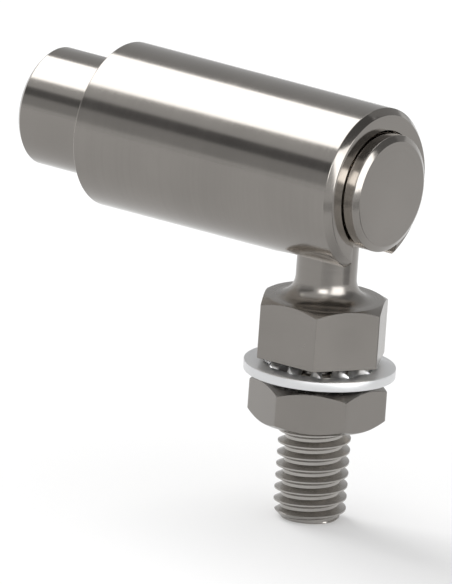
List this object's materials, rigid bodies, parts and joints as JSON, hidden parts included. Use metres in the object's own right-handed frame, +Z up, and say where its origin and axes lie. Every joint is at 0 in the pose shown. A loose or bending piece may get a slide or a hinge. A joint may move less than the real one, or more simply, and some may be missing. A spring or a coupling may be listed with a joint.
{
  "type": "quick-release ball joint",
  "caption": "Quick-release ball joint: tapped round barrel, sprung slotted sleeve, and a ball stud that swivels below it, with lock washer and nut.",
  "frame": {"origin": "centre of the rear thread's mouth, in the barrel's rear face", "axes": "+X along the barrel from the rear face to the nose, +Z up, the stud hangs along -Z"},
  "size_m": [0.0284, 0.011, 0.0287],
  "materials": {
    "turned_stainless": "fine turned, satin",
    "stud_stainless": "satin",
    "washer_stainless": "pale satin",
    "spring_wire": "drawn wire",
    "ring_steel": "dull"
  },
  "bodies": {
    "barrel": {"barrel": "turned_stainless", "retaining_ring": "ring_steel"},
    "sleeve": {"sleeve": "turned_stainless", "sleeve_collar": "turned_stainless"},
    "spring": {"spring": "spring_wire"},
    "lock_washer": {"lock_washer": "washer_stainless"},
    "ball_stud": {"ball_stud": "stud_stainless", "hex_nut": "stud_stainless"}
  },
  "joints": [
    {"name": "sleeve_slide", "type": "slide", "parent": "barrel", "child": "sleeve", "axis": [-1, 0, 0], "range_m": [0, 0.00588], "stiffness_N_per_m": 600, "springref_m": -0.006, "deforming": ["spring"]},
    {"name": "stud_side_tilt", "type": "hinge", "parent": "barrel", "child": "spring", "pos_m": [0.02331, 0, -0.00112], "axis": [1, 0, 0], "range_deg": [-4, 4]},
    {"name": "stud_fore_aft_tilt", "type": "hinge", "parent": "spring", "child": "lock_washer", "pos_m": [0.02331, 0, -0.00112], "axis": [0, -1, 0], "range_deg": [-5, 15]},
    {"name": "stud_swivel", "type": "hinge", "parent": "lock_washer", "child": "ball_stud", "pos_m": [0.02331, 0, -0.00112], "axis": [0, 0, 1], "continuous": true}
  ]
}
